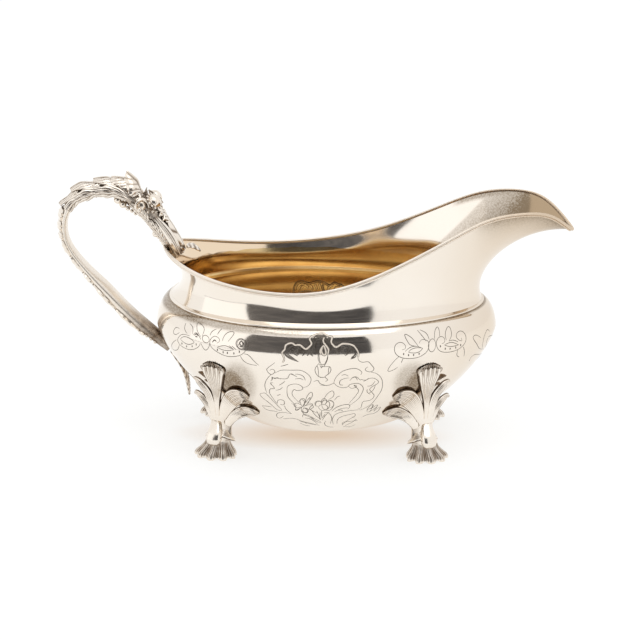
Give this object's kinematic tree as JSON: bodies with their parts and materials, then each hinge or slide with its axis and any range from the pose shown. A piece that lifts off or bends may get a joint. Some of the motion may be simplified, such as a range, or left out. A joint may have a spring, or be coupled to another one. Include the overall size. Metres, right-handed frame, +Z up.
{
  "type": "sauce boat",
  "caption": "Bellied oval silver sauce boat with a waisted neck and long spout, engraved cartouches, leaf legs on shell feet and a leaf-clad loop handle.",
  "frame": {"origin": "on the table under the middle of the whole piece", "axes": "+X along the spout, +Y to the far side, +Z up"},
  "size_m": [0.209, 0.0952, 0.1126],
  "materials": {
    "bowl_silver": "polished silver, engraved outside; inside gilt",
    "moulding_silver": "polished silver",
    "neck_silver": "polished silver",
    "wire_silver": "polished silver",
    "leg_silver": "cast and chased silver, dark in the recesses",
    "shell_silver": "cast and chased silver, dark in the flutes",
    "handle_silver": "cast silver, worn smooth",
    "leaf_silver": "cast and chased silver, dark in the recesses"
  },
  "bodies": {
    "root": {"bowl": "bowl_silver", "shoulder_moulding": "moulding_silver", "neck_and_spout": "neck_silver", "rim_wire": "wire_silver", "leg_front_near": "leg_silver", "foot_shell_front_near": "shell_silver", "leg_front_far": "leg_silver", "foot_shell_front_far": "shell_silver", "leg_back_near": "leg_silver", "foot_shell_back_near": "shell_silver", "leg_back_far": "leg_silver", "foot_shell_back_far": "shell_silver", "handle_loop": "handle_silver", "handle_root_leaf": "leaf_silver", "handle_side_leaf_near": "leaf_silver", "rosette_near": "leaf_silver", "handle_side_leaf_far": "leaf_silver", "rosette_far": "leaf_silver", "handle_pearls": "leaf_silver", "handle_crest_leaf": "leaf_silver", "handle_arch_leaf_1": "leaf_silver", "handle_arch_leaf_2": "leaf_silver", "handle_arch_leaf_3": "leaf_silver", "handle_lower_band": "leaf_silver", "handle_tail_leaf": "leaf_silver", "handle_tongue_leaf": "leaf_silver"}
  },
  "joints": []
}
